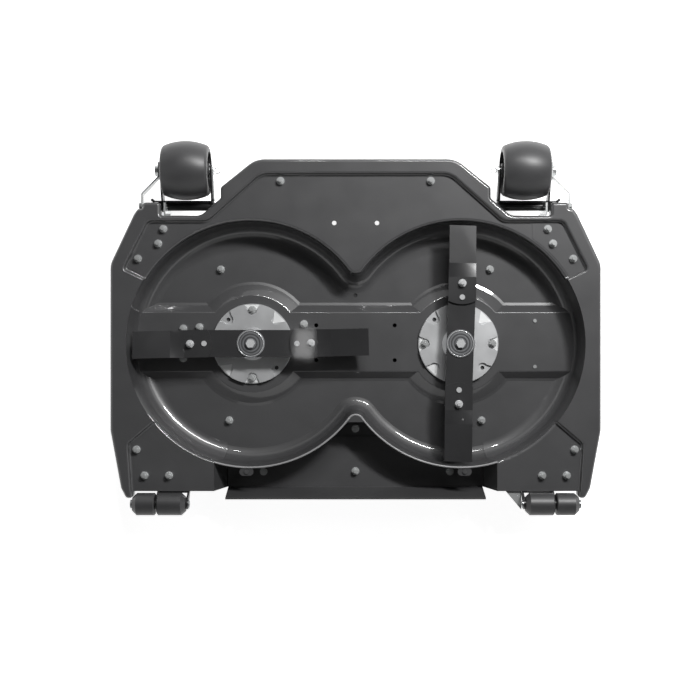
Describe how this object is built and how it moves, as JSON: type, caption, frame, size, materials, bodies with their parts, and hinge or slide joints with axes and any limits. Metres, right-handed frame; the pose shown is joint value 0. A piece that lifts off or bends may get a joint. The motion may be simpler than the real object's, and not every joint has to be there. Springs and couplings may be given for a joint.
{
  "type": "lawn mower deck",
  "caption": "Twin-blade rear-discharge mower deck lying blade side up, with front gauge wheels, rear rollers, a mulching plug and a rubber rear flap.",
  "frame": {"origin": "point on the belt cover's outer face midway between the spindle axes", "axes": "+X to the deck's side with the cutting face towards the viewer and the front up, +Y to the front (gauge wheels), +Z out of the cutting side along the spindles"},
  "size_m": [1.039, 0.7925, 0.2175],
  "materials": {
    "deck_paint": "satin dark grey powder coat",
    "blade_paint": "semi-gloss black paint",
    "black_paint": "satin black paint",
    "housing_aluminium": "as-cast, machined faces",
    "zinc": "bright zinc plating",
    "dark_bolts": "dull dark steel",
    "axle_steel": "turned steel",
    "pulley_steel": "turned steel",
    "bearing_steel": "ground steel",
    "wheel_plastic": "moulded black",
    "roller_plastic": "moulded black",
    "plug_plastic": "moulded black",
    "cover_plastic": "moulded black",
    "flap_rubber": "matte black sheet",
    "belt_rubber": "matte black"
  },
  "bodies": {
    "deck": {"axle_clips": "zinc", "belt_cover": "cover_plastic", "chamber_bolts": "zinc", "channel_bolts": "zinc", "channel_rivets": "zinc", "chute_bolts": "zinc", "chute_plate": "deck_paint", "corner_bolts": "zinc", "deck_shell": "deck_paint", "hanger_bracket_left": "black_paint", "hanger_bracket_right": "black_paint", "inner_stay_left": "zinc", "inner_stay_right": "zinc", "mulch_plug": "plug_plastic", "outer_stay_left": "zinc", "outer_stay_right": "zinc", "plug_screws": "dark_bolts", "rear_flap": "flap_rubber", "roller_axles": "axle_steel", "roller_bracket_left": "black_paint", "roller_bracket_right": "black_paint", "roller_gusset": "zinc", "spindle_bearings": "bearing_steel", "spindle_bolts": "zinc", "spindle_housing_left": "housing_aluminium", "spindle_housing_right": "housing_aluminium", "stay_bolts": "zinc", "timing_belt": "belt_rubber", "wheel_axles": "zinc", "wheel_bracket_left": "zinc", "wheel_bracket_right": "zinc", "wheel_fork_left": "black_paint", "wheel_fork_right": "black_paint"},
    "blade_left": {"spindle_shaft_left": "axle_steel", "timing_pulley_left": "pulley_steel", "pulley_nut_left": "zinc", "blade_bar_left": "blade_paint", "blade_wings_left": "blade_paint", "hub_washer_left": "dark_bolts", "blade_bolt_left": "dark_bolts", "wing_bolts_left": "dark_bolts", "shear_pins_left": "dark_bolts", "input_pulley": "pulley_steel"},
    "wheel_left": {"wheel_left": "wheel_plastic"},
    "inner_roller_left": {"inner_roller_left": "roller_plastic"},
    "outer_roller_left": {"outer_roller_left": "roller_plastic"},
    "blade_right": {"spindle_shaft_right": "axle_steel", "timing_pulley_right": "pulley_steel", "pulley_nut_right": "zinc", "blade_bar_right": "blade_paint", "blade_wings_right": "blade_paint", "hub_washer_right": "dark_bolts", "blade_bolt_right": "dark_bolts", "wing_bolts_right": "dark_bolts", "shear_pins_right": "dark_bolts"},
    "wheel_right": {"wheel_right": "wheel_plastic"},
    "inner_roller_right": {"inner_roller_right": "roller_plastic"},
    "outer_roller_right": {"outer_roller_right": "roller_plastic"}
  },
  "joints": [
    {"name": "blade_left_spin", "type": "hinge", "parent": "deck", "child": "blade_left", "pos_m": [-0.224, 0, 0], "axis": [0, 0, 1], "continuous": true},
    {"name": "blade_right_spin", "type": "hinge", "parent": "deck", "child": "blade_right", "pos_m": [0.224, 0, 0], "axis": [0, 0, 1], "continuous": true},
    {"name": "wheel_left_spin", "type": "hinge", "parent": "deck", "child": "wheel_left", "pos_m": [-0.3605, 0.368, 0.155], "axis": [1, 0, 0], "continuous": true},
    {"name": "inner_roller_left_spin", "type": "hinge", "parent": "deck", "child": "inner_roller_left", "pos_m": [-0.38725, -0.3385, 0.178], "axis": [1, 0, 0], "continuous": true},
    {"name": "outer_roller_left_spin", "type": "hinge", "parent": "deck", "child": "outer_roller_left", "pos_m": [-0.44575, -0.3385, 0.178], "axis": [1, 0, 0], "continuous": true},
    {"name": "wheel_right_spin", "type": "hinge", "parent": "deck", "child": "wheel_right", "pos_m": [0.3605, 0.368, 0.155], "axis": [1, 0, 0], "continuous": true},
    {"name": "inner_roller_right_spin", "type": "hinge", "parent": "deck", "child": "inner_roller_right", "pos_m": [0.38725, -0.3385, 0.178], "axis": [1, 0, 0], "continuous": true},
    {"name": "outer_roller_right_spin", "type": "hinge", "parent": "deck", "child": "outer_roller_right", "pos_m": [0.44575, -0.3385, 0.178], "axis": [1, 0, 0], "continuous": true}
  ],
  "couplings": [
    {"joint": "blade_right_spin", "follows": "blade_left_spin", "ratio": 1}
  ]
}
